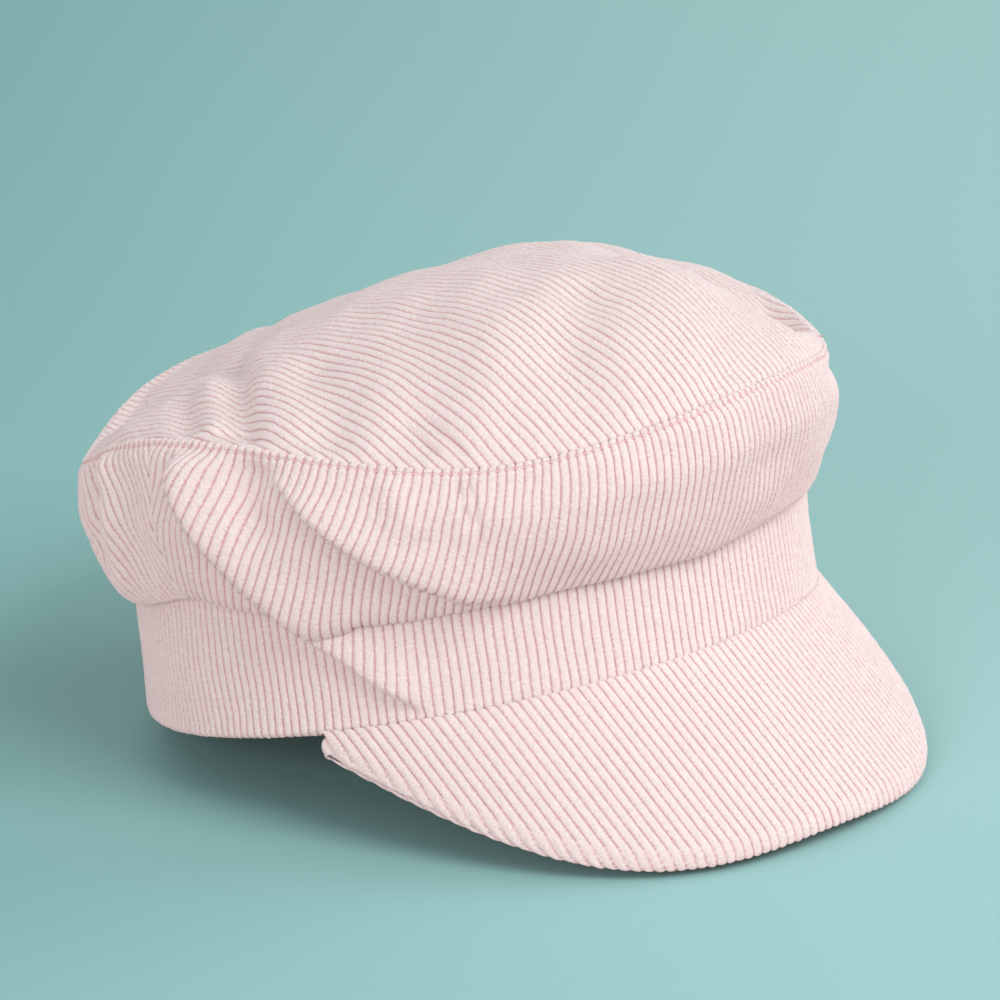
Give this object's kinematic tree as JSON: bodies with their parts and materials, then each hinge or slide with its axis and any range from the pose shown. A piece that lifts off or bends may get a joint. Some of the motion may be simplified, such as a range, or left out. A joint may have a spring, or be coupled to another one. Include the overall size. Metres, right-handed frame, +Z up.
{
  "type": "newsboy cap",
  "caption": "Soft corduroy newsboy cap: domed tip and puffed sides over a stiffened band, lined inside, with a curved visor that flexes on its seam.",
  "frame": {"origin": "on the plane the cap stands on, under the middle of its bounding box", "axes": "-Y towards the visor, +X towards the wearer's left, +Z up from the resting plane"},
  "size_m": [0.212, 0.2592, 0.1339],
  "materials": {
    "corduroy": "napped cotton corduroy, about ten wales to the inch, pale pink",
    "lining": "smooth plain-weave lining, pale pink",
    "interfacing": "stiff non-woven interfacing, off-white",
    "board": "thin flexible visor board, off-white",
    "thread": "spun sewing thread, pink",
    "label": "woven ribbon, blank"
  },
  "bodies": {
    "cap": {"band_outer": "corduroy", "band_interfacing": "interfacing", "sweatband": "lining", "sweatband_stitch": "thread", "size_label": "label", "side_panel_front": "corduroy", "side_panel_back": "corduroy", "crown_tip": "corduroy", "crown_topstitch": "thread", "lining_side_front": "lining", "lining_side_back": "lining", "lining_tip": "lining"},
    "visor": {"visor_top": "corduroy", "visor_board": "board", "visor_under": "corduroy"}
  },
  "joints": [
    {"name": "visor_flex", "type": "hinge", "parent": "cap", "child": "visor", "pos_m": [-0.004, -0.03543, 0.03011], "axis": [-1, 0, 0], "range_deg": [-8, 8], "stiffness_Nm_per_rad": 2}
  ]
}
